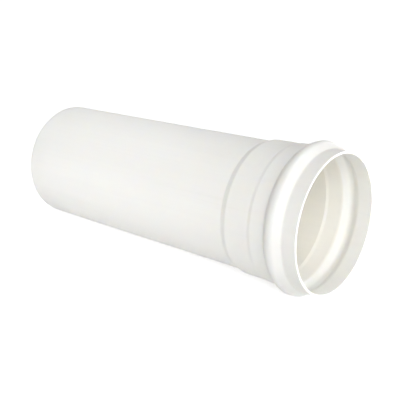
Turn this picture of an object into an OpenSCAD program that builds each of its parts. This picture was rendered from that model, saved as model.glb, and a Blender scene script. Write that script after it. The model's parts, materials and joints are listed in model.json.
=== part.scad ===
// PVC sewer pipe with a formed ring socket: one extruded length whose warm end was opened out into a socket.
// Lengths are in millimetres. The pipe lies along X with its mouth at +X, and z = 0 is the floor under it.
// It rests on the ring groove's crest and the cut end's lower edge, so its axis rises a little to the mouth.

/* [Pipe] */
// Whole length, from the cut end to the mouth
total_length = 290; // [150:1:600]
// Outside diameter of the plain pipe
pipe_d = 101.6; // [75:0.1:125]
// Wall of the plain pipe
pipe_wall = 1.8; // [1.2:0.1:2.6]
// Bevel on the outer edge of the cut end
cut_bevel = 0.4; // [0.1:0.1:0.8]

/* [Socket] */
// Wall of the socket, thinned where the pipe was opened out
socket_wall = 1.7; // [1.2:0.1:2.6]
// Gap all round between a spigot and the inner part of the socket
inner_gap = 0.2; // [0.1:0.05:1]
// Length of the inner part of the socket
inner_length = 20; // [12:0.1:40]
// Gap all round between a spigot and the middle part of the socket
middle_gap = 0.85; // [0.3:0.05:1.5]
// Length of the middle part, between the step and the ring groove
middle_length = 12.2; // [8:0.1:30]
// Length of the small step between the inner and middle parts
step_length = 2.6; // [1:0.1:4]
// Bend radius of the small step
step_bend = 3.5; // [1.5:0.1:6]
// Length of the shoulder that joins the pipe to the socket
shoulder_length = 5; // [3.5:0.1:12]
// Bend radius at both ends of the shoulder
shoulder_bend = 5; // [2:0.1:10]

/* [Lip] */
// Gap all round between a spigot and the lip at the mouth
lip_gap = 0.6; // [0.2:0.05:1.5]
// Length of the straight lip, from the mouth to the ring groove
lip_length = 11.7; // [6:0.1:20]
// Bevel on both edges of the mouth's end face
lip_bevel = 0.25; // [0.1:0.05:0.5]

/* [Ring groove] */
// Room all round between a spigot and the bottom of the ring groove
ring_room = 5.4; // [4:0.1:8]
// Run of the groove's slope on the mouth side
front_run = 5.4; // [3:0.1:8]
// Width of the groove's crest
crest_width = 4.2; // [3.5:0.1:10]
// Run of the groove's slope on the pipe side
rear_run = 4.4; // [3:0.1:8]
// Bend radius over the crest
crest_bend = 4.5; // [2.5:0.1:8]
// Bend radius where the lip meets the groove
front_foot_bend = 3; // [1.5:0.1:6]
// Bend radius where the groove meets the middle part of the socket
rear_foot_bend = 3.5; // [2:0.1:8]

/* [Hidden] */
// Facets round the pipe, and straight pieces in each bend
$fn = 180;
bend_steps = 8;
// Half of a stretch is the most that the bend at either end of it may take
bend_share = 0.49;
spigot_r = pipe_d / 2;

// Radii of the wall's middle line
pipe_mid = spigot_r - pipe_wall / 2;
inner_mid = spigot_r + inner_gap + socket_wall / 2;
middle_mid = spigot_r + middle_gap + socket_wall / 2;
lip_mid = spigot_r + lip_gap + socket_wall / 2;
crest_mid = spigot_r + ring_room + socket_wall / 2;

// Depths of the corners of that line, measured back from the mouth
crest_front = lip_length + front_run;
crest_rear = crest_front + crest_width;
groove_rear = crest_rear + rear_run;
step_front = groove_rear + middle_length;
step_rear = step_front + step_length;
socket_depth = step_rear + inner_length;
pipe_start = socket_depth + shoulder_length;

// Corners of the wall's middle line, from the mouth to the cut end: depth, radius and bend radius
corners = [
    [0, lip_mid, 0],
    [lip_length, lip_mid, front_foot_bend],
    [crest_front, crest_mid, crest_bend],
    [crest_rear, crest_mid, crest_bend],
    [groove_rear, middle_mid, rear_foot_bend],
    [step_front, middle_mid, step_bend],
    [step_rear, inner_mid, step_bend],
    [socket_depth, inner_mid, shoulder_bend],
    [pipe_start, pipe_mid, shoulder_bend],
    [total_length, pipe_mid, 0],
];

// Depth and radius of corner i, and the length and heading of the stretch that starts there
function spot(i) = [corners[i][0], corners[i][1]];
function stretch(i) = norm(spot(i + 1) - spot(i));
function heading(i) = atan2(corners[i + 1][1] - corners[i][1], corners[i + 1][0] - corners[i][0]);

// Unit vectors along a heading and out of the wall
function along(h) = [cos(h), sin(h)];
function outward(h) = [-sin(h), cos(h)];

// Length of straight line that the bend at corner i takes, limited by the stretches beside it
function bend_reach(i, turn) =
    min(corners[i][2] * tan(abs(turn) / 2), bend_share * stretch(i - 1), bend_share * stretch(i));

// Points of the bend at corner i, each with its heading
function bend_points(i) =
    let (
        from = heading(i - 1),
        turn = heading(i) - from,
        reach = bend_reach(i, turn),
        radius = reach / tan(turn / 2),
        start = spot(i) - reach * along(from),
        centre = start + radius * outward(from)
    )
    [for (k = [0:bend_steps]) let (h = from + turn * k / bend_steps) [centre - radius * outward(h), h]];

// A corner between two stretches in line has no bend
function corner_points(i) = heading(i) == heading(i - 1) ? [[spot(i), heading(i)]] : bend_points(i);
middle_line = [for (i = [1:len(corners) - 2]) each corner_points(i)];

// The wall thins from the pipe's to the socket's along the shoulder
function wall_at(depth) = lookup(depth, [[socket_depth, socket_wall], [pipe_start, pipe_wall]]);
function outside(p) = p[0] + wall_at(p[0][0]) / 2 * outward(p[1]);
function inside(p) = p[0] - wall_at(p[0][0]) / 2 * outward(p[1]);

lip_out = lip_mid + socket_wall / 2;
lip_in = lip_mid - socket_wall / 2;
wall_section = [
    [lip_bevel, lip_in],
    [0, lip_in + lip_bevel],
    [0, lip_out - lip_bevel],
    [lip_bevel, lip_out],
    for (p = middle_line) outside(p),
    [total_length - cut_bevel, spigot_r],
    [total_length, spigot_r - cut_bevel],
    [total_length, spigot_r - pipe_wall],
    for (k = [len(middle_line) - 1:-1:0]) inside(middle_line[k]),
];

// Tilt of the axis at rest: the steepest line from the cut end's lower edge to any place on the socket
rest_reach = total_length - cut_bevel;
rest_tilt = max([for (p = middle_line) atan2(outside(p)[1] - spigot_r, rest_reach - outside(p)[0])]);
// Height of the middle of the axis above the floor
rest_height = (rest_reach - total_length / 2) * sin(rest_tilt) + spigot_r * cos(rest_tilt);

// The whole pipe: its wall's section turned about the axis
module pipe() {
    color([0.93, 0.93, 0.90])
        translate([0, 0, rest_height])
            rotate([0, 90 - rest_tilt, 0])
                rotate_extrude()
                    polygon([for (p = wall_section) [p[1], total_length / 2 - p[0]]]);
}

pipe();
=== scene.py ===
"""A short PVC sewer pipe with a formed ring socket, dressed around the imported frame.

Lengths are in metres. The pipe lies along X with its mouth at +X, and the floor under it is z = 0.
"""
import json
import math

import bmesh
import bpy
from mathutils import Matrix, Vector


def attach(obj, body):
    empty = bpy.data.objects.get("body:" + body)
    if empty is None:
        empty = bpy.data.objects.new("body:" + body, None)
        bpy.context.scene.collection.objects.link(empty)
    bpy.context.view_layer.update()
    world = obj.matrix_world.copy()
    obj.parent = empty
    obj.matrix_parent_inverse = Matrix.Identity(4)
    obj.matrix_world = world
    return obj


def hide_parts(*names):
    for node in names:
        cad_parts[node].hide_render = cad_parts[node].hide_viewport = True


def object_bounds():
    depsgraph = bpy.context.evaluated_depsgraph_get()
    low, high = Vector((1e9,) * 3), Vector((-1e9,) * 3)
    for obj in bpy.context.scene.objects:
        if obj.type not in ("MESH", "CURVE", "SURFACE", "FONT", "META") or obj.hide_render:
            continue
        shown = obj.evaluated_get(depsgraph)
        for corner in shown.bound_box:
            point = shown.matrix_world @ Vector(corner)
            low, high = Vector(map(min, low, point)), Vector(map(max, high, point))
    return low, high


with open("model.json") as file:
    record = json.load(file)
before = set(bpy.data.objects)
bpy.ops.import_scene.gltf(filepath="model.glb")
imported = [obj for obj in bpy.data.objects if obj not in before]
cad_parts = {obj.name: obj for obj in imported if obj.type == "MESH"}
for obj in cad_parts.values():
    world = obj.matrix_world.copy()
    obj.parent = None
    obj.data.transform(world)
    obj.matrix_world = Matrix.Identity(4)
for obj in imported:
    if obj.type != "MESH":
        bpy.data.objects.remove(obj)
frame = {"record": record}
cad_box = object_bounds()

scene = bpy.context.scene
scene.view_settings.view_transform = "Standard"

MILLIMETRES_PER_METRE = 1000

# The pipe's axis, radii and ends, taken from the record's mounts
MOUNTS = {mount["name"]: mount for mount in frame["record"]["mounts"]}
AXIS = Vector(MOUNTS["socket"]["axis"]).normalized()
ON_AXIS = Vector(MOUNTS["socket"]["pos_m"])
MIDDLE = ON_AXIS - AXIS * (ON_AXIS.x / AXIS.x)


def mount_radius(name):
    """Radius of a round mount."""
    return MOUNTS[name]["dims"]["r_mm"] / MILLIMETRES_PER_METRE


def mount_place(name):
    """Place of a mount along the pipe's axis, from the pipe's middle towards the mouth."""
    return (Vector(MOUNTS[name]["pos_m"]) - MIDDLE).dot(AXIS)


SPIGOT_RADIUS = mount_radius("spigot")
BORE_RADIUS = mount_radius("waterway")
INNER_RADIUS = mount_radius("socket")
MIDDLE_RADIUS = mount_radius("socket_middle")
LIP_RADIUS = mount_radius("lip")
CREST_RADIUS = (cad_box[1].y - cad_box[0].y) / 2
MOUTH_PLACE = mount_place("mouth_face")
PIPE_LENGTH = MOUTH_PLACE - mount_place("cut_end")
PIPE_WALL = SPIGOT_RADIUS - BORE_RADIUS

# The socket's wall, the lengths of its parts and its bends, as in the part's source
SOCKET_WALL = 0.0017
LIP_LENGTH = 0.0117
FRONT_RUN = 0.0054
CREST_WIDTH = 0.0042
REAR_RUN = 0.0044
MIDDLE_LENGTH = 0.0122
STEP_LENGTH = 0.0026
INNER_LENGTH = 0.02
SHOULDER_LENGTH = 0.005
FRONT_FOOT_BEND = 0.003
CREST_BEND = 0.0045
REAR_FOOT_BEND = 0.0035
STEP_BEND = 0.0035
SHOULDER_BEND = 0.005
# Just under half of a stretch is the most that the bend at either end of it may take
BEND_SHARE = 0.49

# Depths of the socket's corners, measured back from the mouth
CREST_FRONT = LIP_LENGTH + FRONT_RUN
CREST_REAR = CREST_FRONT + CREST_WIDTH
GROOVE_REAR = CREST_REAR + REAR_RUN
STEP_FRONT = GROOVE_REAR + MIDDLE_LENGTH
STEP_REAR = STEP_FRONT + STEP_LENGTH
SOCKET_DEPTH = STEP_REAR + INNER_LENGTH
PIPE_START = SOCKET_DEPTH + SHOULDER_LENGTH

# Rounded edges of the mouth and of the cut end
LIP_ROUND = 0.0003
CUT_ROUND_OUT = 0.0004
CUT_ROUND_IN = 0.00015

# Headings across the wall's section, in which depth grows to the cut end and radius grows from the axis
FULL_TURN = 2 * math.pi
TO_CUT_END = 0
FROM_AXIS = math.pi / 2
TO_MOUTH = math.pi
TO_AXIS = -math.pi / 2

# Fineness of the mesh: steps round the pipe, in each bend, in each rounded edge and along the plain pipe
ROUND_STEPS = 240
BEND_STEPS = 10
EDGE_STEPS = 4
BARREL_STEPS = 24

# Finishes of the pipe's surfaces, in the order of the mesh's material slots
BARREL, SOCKET, BORE, CUT, MOUTH, MIDDLE_BORE, GROOVE_BORE = range(7)

# Name of the mesh attribute that holds each point's place on the pipe, with X along the pipe's own axis
PLACE_ATTRIBUTE = "pipe_place"


def heading_vector(angle):
    """Unit vector of depth and radius along a heading."""
    return Vector((math.cos(angle), math.sin(angle)))


def outward_vector(angle):
    """Unit vector of depth and radius that leaves the wall's outside."""
    return Vector((-math.sin(angle), math.cos(angle)))


def wall_corners():
    """Corners of the wall's middle line from the mouth to the cut end: depth, radius and bend radius."""
    half = SOCKET_WALL / 2
    pipe_middle = (SPIGOT_RADIUS + BORE_RADIUS) / 2
    return [
        (0, LIP_RADIUS + half, 0),
        (LIP_LENGTH, LIP_RADIUS + half, FRONT_FOOT_BEND),
        (CREST_FRONT, CREST_RADIUS - half, CREST_BEND),
        (CREST_REAR, CREST_RADIUS - half, CREST_BEND),
        (GROOVE_REAR, MIDDLE_RADIUS + half, REAR_FOOT_BEND),
        (STEP_FRONT, MIDDLE_RADIUS + half, STEP_BEND),
        (STEP_REAR, INNER_RADIUS + half, STEP_BEND),
        (SOCKET_DEPTH, INNER_RADIUS + half, SHOULDER_BEND),
        (PIPE_START, pipe_middle, SHOULDER_BEND),
        (PIPE_LENGTH, pipe_middle, 0),
    ]


def bend_points(before, corner, after, bend):
    """Points of one bend of the wall's middle line, each with its heading."""
    arriving = corner - before
    leaving = after - corner
    start_heading = math.atan2(arriving.y, arriving.x)
    turn = math.atan2(leaving.y, leaving.x) - start_heading
    reach = min(
        bend * math.tan(abs(turn) / 2),
        BEND_SHARE * arriving.length,
        BEND_SHARE * leaving.length,
    )
    radius = reach / math.tan(turn / 2)
    start = corner - reach * heading_vector(start_heading)
    centre = start + radius * outward_vector(start_heading)
    headings = [start_heading + turn * step / BEND_STEPS for step in range(BEND_STEPS + 1)]
    return [(centre - radius * outward_vector(heading), heading) for heading in headings]


def middle_line():
    """The bends of the wall's middle line: points of depth and radius, each with its heading."""
    corners = wall_corners()
    spots = [Vector(corner[:2]) for corner in corners]
    line = []
    for place in range(1, len(corners) - 1):
        line += bend_points(*spots[place - 1 : place + 2], corners[place][2])
    return line


def half_wall(depth):
    """Half the wall's thickness, which falls from the pipe's to the socket's along the shoulder."""
    share = min(max((depth - SOCKET_DEPTH) / SHOULDER_LENGTH, 0), 1)
    return (SOCKET_WALL + share * (PIPE_WALL - SOCKET_WALL)) / 2


def rounded_edge(depth, radius, size, start, end):
    """Points of a rounded edge about a centre, from one heading to another."""
    centre = Vector((depth, radius))
    angles = [start + (end - start) * step / EDGE_STEPS for step in range(EDGE_STEPS + 1)]
    return [centre + size * heading_vector(angle) for angle in angles]


def mouth_edge():
    """Section of the mouth's end, from the lip's inside to its outside."""
    low = LIP_RADIUS + LIP_ROUND
    high = LIP_RADIUS + SOCKET_WALL - LIP_ROUND
    inner = rounded_edge(LIP_ROUND, low, LIP_ROUND, TO_AXIS + FULL_TURN, TO_MOUTH)
    outer = rounded_edge(LIP_ROUND, high, LIP_ROUND, TO_MOUTH, FROM_AXIS)
    return inner + outer


def cut_edge():
    """Section of the sawn end, from the pipe's outside to its bore."""
    high = SPIGOT_RADIUS - CUT_ROUND_OUT
    low = BORE_RADIUS + CUT_ROUND_IN
    outer = rounded_edge(PIPE_LENGTH - CUT_ROUND_OUT, high, CUT_ROUND_OUT, FROM_AXIS, TO_CUT_END)
    inner = rounded_edge(PIPE_LENGTH - CUT_ROUND_IN, low, CUT_ROUND_IN, TO_CUT_END, TO_AXIS)
    return outer + inner


def barrel_rings(start, radius):
    """Points along the plain pipe, from its start to near its cut end."""
    run = PIPE_LENGTH - CUT_ROUND_OUT - start
    return [Vector((start + run * step / BARREL_STEPS, radius)) for step in range(1, BARREL_STEPS)]


def inside_finish(depth):
    """Finish of the inside at a depth from the mouth, whose colour is painted light near the mouth and
    painted shade deeper.
    """
    if depth > STEP_REAR:
        return BORE
    return MIDDLE_BORE if depth > GROOVE_REAR else GROOVE_BORE


def wall_section():
    """The wall's section as a closed loop of points, each with the finish of the stretch after it."""
    line = middle_line()
    outside = [spot + half_wall(spot.x) * outward_vector(heading) for spot, heading in line]
    inside = [spot - half_wall(spot.x) * outward_vector(heading) for spot, heading in line]
    mouth = mouth_edge()
    cut = cut_edge()
    section = [(spot, MOUTH) for spot in mouth[:-1]]
    section.append((mouth[-1], SOCKET))
    section += [(spot, SOCKET if spot.x < PIPE_START else BARREL) for spot in outside]
    section += [(spot, BARREL) for spot in barrel_rings(outside[-1].x, SPIGOT_RADIUS)]
    section += [(spot, CUT) for spot in cut[:-1]]
    section.append((cut[-1], BORE))
    section += [(spot, BORE) for spot in reversed(barrel_rings(inside[-1].x, BORE_RADIUS))]
    section += [(spot, inside_finish(spot.x)) for spot in reversed(inside)]
    return section


def turned_pipe():
    """The pipe as one mesh, its wall's section turned about the axis."""
    section = wall_section()
    form = bmesh.new()
    rings = []
    for spot, _ in section:
        ring = []
        for step in range(ROUND_STEPS):
            across = spot.y * heading_vector(FULL_TURN * step / ROUND_STEPS)
            ring.append(form.verts.new((MOUTH_PLACE - spot.x, across.x, across.y)))
        rings.append(ring)
    for place, (_, finish) in enumerate(section):
        ring = rings[place]
        following = rings[(place + 1) % len(rings)]
        for step in range(ROUND_STEPS):
            beside = (step + 1) % ROUND_STEPS
            face = form.faces.new((ring[step], ring[beside], following[beside], following[step]))
            face.material_index = finish
            face.smooth = True
    bmesh.ops.recalc_face_normals(form, faces=form.faces)
    mesh = bpy.data.meshes.new("pvc_pipe")
    form.to_mesh(mesh)
    form.free()
    return mesh


def laid_pipe():
    """The pipe's piece, laid as the frame has it, with each point's place on the pipe kept for finishes."""
    mesh = turned_pipe()
    places = mesh.attributes.new(PLACE_ATTRIBUTE, "FLOAT_VECTOR", "POINT")
    for vertex, place in zip(mesh.vertices, places.data):
        place.vector = vertex.co
    tilt = math.atan2(AXIS.z, AXIS.x)
    mesh.transform(Matrix.Translation(MIDDLE) @ Matrix.Rotation(-tilt, 4, "Y"))
    piece = bpy.data.objects.new("pvc_pipe", mesh)
    scene.collection.objects.link(piece)
    return piece


def add_node(tree, kind, inputs=None, **settings):
    """Adds a shader node, sets its properties, and sets or links its inputs."""
    node = tree.nodes.new("ShaderNode" + kind)
    for name, value in settings.items():
        setattr(node, name, value)
    for name, value in (inputs or {}).items():
        if isinstance(value, bpy.types.NodeSocket):
            tree.links.new(value, node.inputs[name])
        else:
            node.inputs[name].default_value = value
    return node


def add_math(tree, operation, first, second):
    """The result of a sum, product or the like of two values."""
    return add_node(tree, "Math", {0: first, 1: second}, operation=operation).outputs["Value"]


def spread(tree, value, low, high, to_low=0.0, to_high=1.0):
    """A value stretched from one range to another, and held at its ends."""
    inputs = {
        "Value": value,
        "From Min": low,
        "From Max": high,
        "To Min": to_low,
        "To Max": to_high,
    }
    return add_node(tree, "MapRange", inputs).outputs["Result"]


def pipe_place(tree):
    """A point's place on the pipe."""
    return add_node(tree, "Attribute", attribute_name=PLACE_ATTRIBUTE).outputs["Vector"]


def stretched_noise(tree, along, across, detail):
    """Noise whose features repeat a number of times a metre along the pipe and across it."""
    scale = add_node(tree, "CombineXYZ", {"X": along, "Y": across, "Z": across}).outputs["Vector"]
    place = add_node(tree, "VectorMath", {0: pipe_place(tree), 1: scale}, operation="MULTIPLY")
    inputs = {"Vector": place.outputs["Vector"], "Scale": 1.0, "Detail": detail}
    return add_node(tree, "TexNoise", inputs).outputs["Fac"]


def effect_group(name, inputs, output):
    """An empty shader group with float inputs and one float output, and its two end nodes."""
    tree = bpy.data.node_groups.new(name, "ShaderNodeTree")
    for label, value in inputs.items():
        socket = tree.interface.new_socket(label, in_out="INPUT", socket_type="NodeSocketFloat")
        socket.default_value = value
    tree.interface.new_socket(output, in_out="OUTPUT", socket_type="NodeSocketFloat")
    return tree, tree.nodes.new("NodeGroupInput"), tree.nodes.new("NodeGroupOutput")


# Noise lies mostly between these two values, and is stretched from them to 0 and 1
NOISE_LIMITS = (0.3, 0.7)
# Layers of finer noise in each effect
LINE_DETAIL = 2.0
GRAIN_DETAIL = 3.0
DRIFT_DETAIL = 2.0
MARK_DETAIL = 1.0

# Lines on each skin: from the die, stretched over the former, in the bore, and on the trimmed mouth
DIE_LINES = {"Lines per metre": 350, "Change along": 3}
FORMED_LINES = {"Lines per metre": 220, "Change along": 9}
BORE_LINES = {"Lines per metre": 300, "Change along": 4}
TRIM_LINES = {"Lines per metre": 500, "Change along": 40}

# Grains and patches of tone in a metre of skin, and the amount of scratches on it
SKIN_GRAINS = {"Grains per metre": 900}
TONE_PATCHES = {"Patches per metre": 14}
SKIN_MARKS = {"Amount": 0.3}

# Scratches in a metre along and across the pipe, and the values of noise at which they begin and are full;
# then the same for the patches that they lie in
SCRATCHES_ALONG = 9.0
SCRATCHES_ACROSS = 620.0
SCRATCH_LIMITS = (0.66, 0.74)
PATCHES_ALONG = 16.0
PATCHES_ACROSS = 24.0
PATCH_LIMITS = (0.5, 0.68)


def extrusion_lines():
    """Faint lines that the extrusion die leaves along the pipe."""
    tree, given, made = effect_group("Extrusion lines", DIE_LINES, "Lines")
    along = given.outputs["Change along"]
    across = given.outputs["Lines per metre"]
    noise = stretched_noise(tree, along, across, LINE_DETAIL)
    tree.links.new(spread(tree, noise, *NOISE_LIMITS), made.inputs["Lines"])
    return tree


def skin_grain():
    """The fine uneven grain of a moulded or extruded skin."""
    tree, given, made = effect_group("Skin grain", SKIN_GRAINS, "Grain")
    grains = given.outputs["Grains per metre"]
    noise = stretched_noise(tree, grains, grains, GRAIN_DETAIL)
    tree.links.new(spread(tree, noise, *NOISE_LIMITS), made.inputs["Grain"])
    return tree


def tone_drift():
    """Slow change of tone over the skin."""
    tree, given, made = effect_group("Tone drift", TONE_PATCHES, "Drift")
    patches = given.outputs["Patches per metre"]
    noise = stretched_noise(tree, patches, patches, DRIFT_DETAIL)
    tree.links.new(spread(tree, noise, *NOISE_LIMITS), made.inputs["Drift"])
    return tree


def sliding_marks():
    """Sparse fine scratches along the pipe, from sliding over others."""
    tree, given, made = effect_group("Sliding marks", SKIN_MARKS, "Marks")
    fine = stretched_noise(tree, SCRATCHES_ALONG, SCRATCHES_ACROSS, MARK_DETAIL)
    patches = stretched_noise(tree, PATCHES_ALONG, PATCHES_ACROSS, MARK_DETAIL)
    scratches = spread(tree, fine, *SCRATCH_LIMITS)
    sparse = add_math(tree, "MULTIPLY", scratches, spread(tree, patches, *PATCH_LIMITS))
    marks = add_math(tree, "MULTIPLY", sparse, given.outputs["Amount"])
    tree.links.new(marks, made.inputs["Marks"])
    return tree


def place_effect(tree, group, values):
    """Puts a shared effect in a material with its own values, and returns its result."""
    node = tree.nodes.new("ShaderNodeGroup")
    node.node_tree = group
    for label, value in values.items():
        node.inputs[label].default_value = value
    return node.outputs[0]


def blend_colour(tree, factor, first, second):
    """One colour turned into another by a factor."""
    node = add_node(tree, "Mix", {"Factor": factor}, data_type="RGBA")
    for socket, colour in (("A_Color", first), ("B_Color", second)):
        target = next(one for one in node.inputs if one.identifier == socket)
        if isinstance(colour, bpy.types.NodeSocket):
            tree.links.new(colour, target)
        else:
            target.default_value = colour
    return next(one for one in node.outputs if one.identifier == "Result_Color")


# PVC: its refraction, how far light wanders in it, the shares of that for red, green and blue, and how much
# of the light does so
PVC_IOR = 1.53
PVC_GLOW_DEPTH = 0.002
PVC_GLOW_COLOUR = (1.0, 0.85, 0.6)
PVC_GLOW = 0.35

# Colours of the PVC, light and dark: outside, inside from the small step to the cut end, inside between the
# step and the groove, inside the groove and the lip, in scratches, and on the sawn end
SKIN_LIGHT = (0.867, 0.864, 0.842, 1)
SKIN_DARK = (0.847, 0.844, 0.822, 1)
# Painted light and shade: the inside is lighter than the outside up to the small step, and darker and warmer
# beyond it
BORE_LIGHT = (0.838, 0.823, 0.768, 1)
BORE_DARK = (0.818, 0.802, 0.745, 1)
MIDDLE_BORE_LIGHT = (0.907, 0.891, 0.838, 1)
MIDDLE_BORE_DARK = (0.887, 0.871, 0.818, 1)
GROOVE_BORE_LIGHT = (0.914, 0.909, 0.884, 1)
GROOVE_BORE_DARK = (0.894, 0.889, 0.864, 1)
SCRATCH_COLOUR = (0.80, 0.80, 0.78, 1)
CUT_LIGHT = (0.87, 0.87, 0.85, 1)
CUT_DARK = (0.82, 0.82, 0.80, 1)

# Range of roughness of each finish
EXTRUDED_ROUGHNESS = (0.56, 0.68)
FORMED_ROUGHNESS = (0.54, 0.66)
INSIDE_ROUGHNESS = (0.52, 0.64)
TRIMMED_ROUGHNESS = (0.5, 0.6)
SAWN_ROUGHNESS = (0.6, 0.8)

# The mean of two effects in a skin's tone, the grain's part in its wear and in its height, and its relief
HALF = 0.5
GRAIN_IN_WEAR = 0.6
GRAIN_IN_HEIGHT = 0.35
SKIN_RELIEF = 0.2
SKIN_RELIEF_DEPTH = 0.00002

# The sawn end: its stripes, about 500 to a metre across them, how far they wander and how finely, its grain
# and its relief
SAW_STRIPE_SCALE = 222.8169
SAW_WANDER = 1.5
SAW_DETAIL = 2.0
SAW_GRAINS = {"Grains per metre": 2500}
SAWN_RELIEF = 0.6
SAWN_RELIEF_DEPTH = 0.00005

LINES = extrusion_lines()
GRAIN = skin_grain()
DRIFT = tone_drift()
MARKS = sliding_marks()


def pvc_material(name):
    """A new PVC material: its node tree and its shader."""
    material = bpy.data.materials.new(name)
    material.use_nodes = True
    shader = material.node_tree.nodes["Principled BSDF"]
    shader.inputs["IOR"].default_value = PVC_IOR
    shader.inputs["Subsurface Weight"].default_value = PVC_GLOW
    shader.inputs["Subsurface Radius"].default_value = PVC_GLOW_COLOUR
    shader.inputs["Subsurface Scale"].default_value = PVC_GLOW_DEPTH
    return material, material.node_tree, shader


def raise_relief(tree, shader, height, strength, depth):
    """Gives a material's surface a fine relief."""
    bump = add_node(tree, "Bump", {"Height": height, "Strength": strength, "Distance": depth})
    tree.links.new(bump.outputs["Normal"], shader.inputs["Normal"])


def finish_skin(name, light, dark, lines, roughness):
    """A PVC skin: two near tones, lines, grain, scratches, and a range of roughness."""
    material, tree, shader = pvc_material(name)
    line_value = place_effect(tree, LINES, lines)
    grain_value = place_effect(tree, GRAIN, SKIN_GRAINS)
    drift_value = place_effect(tree, DRIFT, TONE_PATCHES)
    mark_value = place_effect(tree, MARKS, SKIN_MARKS)
    tone = add_math(tree, "MULTIPLY", add_math(tree, "ADD", drift_value, line_value), HALF)
    colour = blend_colour(tree, tone, light, dark)
    colour = blend_colour(tree, mark_value, colour, SCRATCH_COLOUR)
    tree.links.new(colour, shader.inputs["Base Color"])
    wear = add_math(tree, "MAXIMUM", mark_value, add_math(tree, "MULTIPLY", grain_value, GRAIN_IN_WEAR))
    tree.links.new(spread(tree, wear, 0, 1, *roughness), shader.inputs["Roughness"])
    height = add_math(tree, "ADD", line_value, add_math(tree, "MULTIPLY", grain_value, GRAIN_IN_HEIGHT))
    height = add_math(tree, "SUBTRACT", height, mark_value)
    raise_relief(tree, shader, height, SKIN_RELIEF, SKIN_RELIEF_DEPTH)
    return material


def extruded_skin():
    """The plain pipe's outside, with long lines from the die."""
    return finish_skin("extruded_skin", SKIN_LIGHT, SKIN_DARK, DIE_LINES, EXTRUDED_ROUGHNESS)


def formed_skin():
    """The socket's outside, softened and stretched over the former, with its lines smoothed."""
    return finish_skin("formed_skin", SKIN_LIGHT, SKIN_DARK, FORMED_LINES, FORMED_ROUGHNESS)


def bore_skin():
    """The inside from the small step to the cut end, smooth, darker and a little warmer: painted shade."""
    return finish_skin("bore_skin", BORE_LIGHT, BORE_DARK, BORE_LINES, INSIDE_ROUGHNESS)


def middle_bore_painted_light():
    """The inside between the small step and the groove, formed over the former, coloured lighter than the
    outside: painted light.
    """
    name = "middle_bore_painted_light"
    return finish_skin(name, MIDDLE_BORE_LIGHT, MIDDLE_BORE_DARK, FORMED_LINES, INSIDE_ROUGHNESS)


def groove_bore_painted_light():
    """The inside of the groove and the lip, formed over the former, coloured lighter than the outside:
    painted light.
    """
    name = "groove_bore_painted_light"
    return finish_skin(name, GROOVE_BORE_LIGHT, GROOVE_BORE_DARK, FORMED_LINES, INSIDE_ROUGHNESS)


def trimmed_mouth():
    """The mouth's trimmed edge."""
    return finish_skin("trimmed_mouth", SKIN_LIGHT, SKIN_DARK, TRIM_LINES, TRIMMED_ROUGHNESS)


def sawn_end():
    """The sawn end, dull and scored by the saw's teeth."""
    material, tree, shader = pvc_material("sawn_end")
    stripes = {
        "Vector": pipe_place(tree),
        "Scale": SAW_STRIPE_SCALE,
        "Distortion": SAW_WANDER,
        "Detail": SAW_DETAIL,
    }
    saw = add_node(tree, "TexWave", stripes, wave_type="BANDS", bands_direction="DIAGONAL").outputs["Fac"]
    grain_value = place_effect(tree, GRAIN, SAW_GRAINS)
    tree.links.new(blend_colour(tree, saw, CUT_LIGHT, CUT_DARK), shader.inputs["Base Color"])
    tree.links.new(spread(tree, grain_value, 0, 1, *SAWN_ROUGHNESS), shader.inputs["Roughness"])
    height = add_math(tree, "ADD", saw, grain_value)
    raise_relief(tree, shader, height, SAWN_RELIEF, SAWN_RELIEF_DEPTH)
    return material


pipe = laid_pipe()
finishes = [
    extruded_skin(),
    formed_skin(),
    bore_skin(),
    sawn_end(),
    trimmed_mouth(),
    middle_bore_painted_light(),
    groove_bore_painted_light(),
]
for finish in finishes:
    pipe.data.materials.append(finish)
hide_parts("pipe")
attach(pipe, "root")

# The camera, fitted to the photograph: its angles in degrees, its distance, the point it aims at beside the
# pipe's middle, and its lens and sensor in millimetres
VIEW_AZIMUTH = 40.98
VIEW_ELEVATION = 19.72
VIEW_DEPTH = 0.6006
AIM_RIGHT = 0.0120
AIM_DOWN = 0.0107
LENS = 64.5
SENSOR = 36
QUARTER_TURN = 90


def aim(azimuth, elevation):
    """Unit vector from the pipe towards an azimuth and elevation in degrees."""
    turn = math.radians(azimuth)
    rise = math.radians(elevation)
    return Vector((math.sin(turn) * math.cos(rise), -math.cos(turn) * math.cos(rise), math.sin(rise)))


def view_camera():
    """The camera at the photograph's viewing angle."""
    back = aim(VIEW_AZIMUTH, VIEW_ELEVATION)
    right = aim(VIEW_AZIMUTH + QUARTER_TURN, 0)
    up = back.cross(right)
    data = bpy.data.cameras.new("view_camera")
    data.lens = LENS
    data.sensor_width = SENSOR
    camera = bpy.data.objects.new("view_camera", data)
    turn = Matrix((right, up, back)).transposed().to_4x4()
    place = MIDDLE + right * AIM_RIGHT - up * AIM_DOWN + back * VIEW_DEPTH
    camera.matrix_world = Matrix.Translation(place) @ turn
    scene.collection.objects.link(camera)
    scene.camera = camera


def seen_directly(tree):
    """1 for rays from the camera, and for those sent on by a glossy or clear surface; 0 for soft light."""
    path = add_node(tree, "LightPath")
    mirrored = add_math(tree, "ADD", path.outputs["Is Glossy Ray"], path.outputs["Is Transmission Ray"])
    rays = {0: path.outputs["Is Camera Ray"], 1: mirrored}
    return add_node(tree, "Math", rays, operation="ADD", use_clamp=True).outputs["Value"]


# The strength at which a glow is seen as white, and the colour white
FULL_WHITE = 1.0
WHITE = (1, 1, 1, 1)

# The floor: its size, its paper's colour, the glow that brings it to white where it is seen beside the pipe,
# and the distances from the frame's origin between which that glow grows to full white
FLOOR_SIZE = 12
FLOOR_COLOUR = (0.85, 0.85, 0.85, 1)
FLOOR_GLOW = 0.6
GLOW_GROWS_FROM = 0.2
GLOW_GROWS_TO = 0.5


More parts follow.
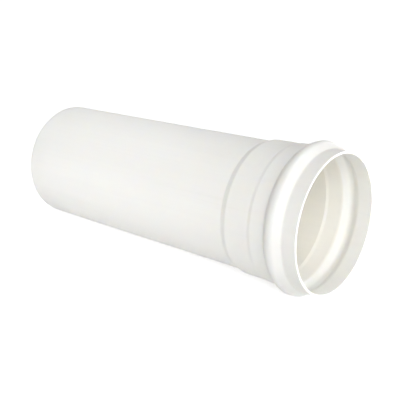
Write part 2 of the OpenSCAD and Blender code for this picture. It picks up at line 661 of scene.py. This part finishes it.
def pale_floor():
    """A wide white floor that keeps the pipe's shadow."""
    mesh = bpy.data.meshes.new("pale_floor")
    half = FLOOR_SIZE / 2
    corners = [(-half, -half, 0), (half, -half, 0), (half, half, 0), (-half, half, 0)]
    mesh.from_pydata(corners, [], [(0, 1, 2, 3)])
    material = bpy.data.materials.new("pale_floor")
    material.use_nodes = True
    tree = material.node_tree
    tree.nodes.clear()
    paper = add_node(tree, "BsdfDiffuse", {"Color": FLOOR_COLOUR}).outputs["BSDF"]
    place = add_node(tree, "NewGeometry").outputs["Position"]
    away = add_node(tree, "VectorMath", {0: place}, operation="LENGTH").outputs["Value"]
    strength = spread(tree, away, GLOW_GROWS_FROM, GLOW_GROWS_TO, FLOOR_GLOW, FULL_WHITE)
    glow = add_node(tree, "Emission", {"Strength": strength}).outputs["Emission"]
    bright = add_node(tree, "AddShader", {0: paper, 1: glow}).outputs["Shader"]
    surface = add_node(tree, "MixShader", {0: seen_directly(tree), 1: paper, 2: bright}).outputs["Shader"]
    add_node(tree, "OutputMaterial", {"Surface": surface})
    mesh.materials.append(material)
    floor = bpy.data.objects.new("pale_floor", mesh)
    scene.collection.objects.link(floor)


# Strength of the soft light from all round
ROOM_LIGHT = 0.1


def studio_world():
    """A little soft light from all round, seen as white."""
    world = bpy.data.worlds.new("studio_world")
    world.use_nodes = True
    scene.world = world
    tree = world.node_tree
    tree.nodes.clear()
    soft = add_node(tree, "Background", {"Color": WHITE, "Strength": ROOM_LIGHT}).outputs["Background"]
    white = add_node(tree, "Background", {"Color": WHITE, "Strength": FULL_WHITE}).outputs["Background"]
    surface = add_node(tree, "MixShader", {0: seen_directly(tree), 1: soft, 2: white}).outputs["Shader"]
    add_node(tree, "OutputWorld", {"Surface": surface})


# The studio's lamps, aimed at the pipe's middle: azimuth, elevation, distance, size and power
STUDIO_LAMPS = {
    "front_lamp": (60, 5, 1.4, 0.3, 3.45),
    "high_lamp": (75, 38, 1.4, 0.7, 4.1),
    "mouth_lamp": (114, 12, 1.4, 0.4, 4.9),
    "left_lamp": (-70, 5, 0.7, 0.12, 0.3),
}
# Lamps with a narrow beam, aimed at the barrel near its cut end
BARREL_LAMPS = {
    "barrel_front_lamp": (45, 25, 1.0, 0.3, 0.36),
    "barrel_left_lamp": (-15, 10, 1.0, 0.3, 0.16),
    "barrel_top_lamp": (180, 65, 1.0, 0.3, 0.28),
}
# A small lamp close to the floor, which shines up into the mouth
SOCKET_LAMPS = {
    "low_lamp": (110, -5, 0.35, 0.04, 0.18),
}

# The spots that the last two sets are aimed at, each as far from the pipe's middle, and the lamps' beams
SPOT_REACH = 0.12
BARREL_SPOT = MIDDLE - AXIS * SPOT_REACH
SOCKET_SPOT = MIDDLE + AXIS * SPOT_REACH
WIDE_BEAM = math.radians(180)
HALF_BEAM = math.radians(90)
NARROW_BEAM = math.radians(45)

# Each set of lamps, its target and its beam
LAMP_SETS = [
    (STUDIO_LAMPS, MIDDLE, WIDE_BEAM),
    (BARREL_LAMPS, BARREL_SPOT, NARROW_BEAM),
    (SOCKET_LAMPS, SOCKET_SPOT, HALF_BEAM),
]


def soft_lamp(name, target, beam, azimuth, elevation, distance, size, power):
    """A square lamp that shines on a target."""
    away = aim(azimuth, elevation)
    data = bpy.data.lights.new(name, "AREA")
    data.shape = "SQUARE"
    data.size = size
    data.energy = power
    data.spread = beam
    lamp = bpy.data.objects.new(name, data)
    lamp.location = target + away * distance
    lamp.rotation_mode = "QUATERNION"
    lamp.rotation_quaternion = away.to_track_quat("Z", "Y")
    lamp.visible_camera = False
    scene.collection.objects.link(lamp)


view_camera()
pale_floor()
studio_world()
for lamps, target, beam in LAMP_SETS:
    for name, values in lamps.items():
        soft_lamp(name, target, beam, *values)
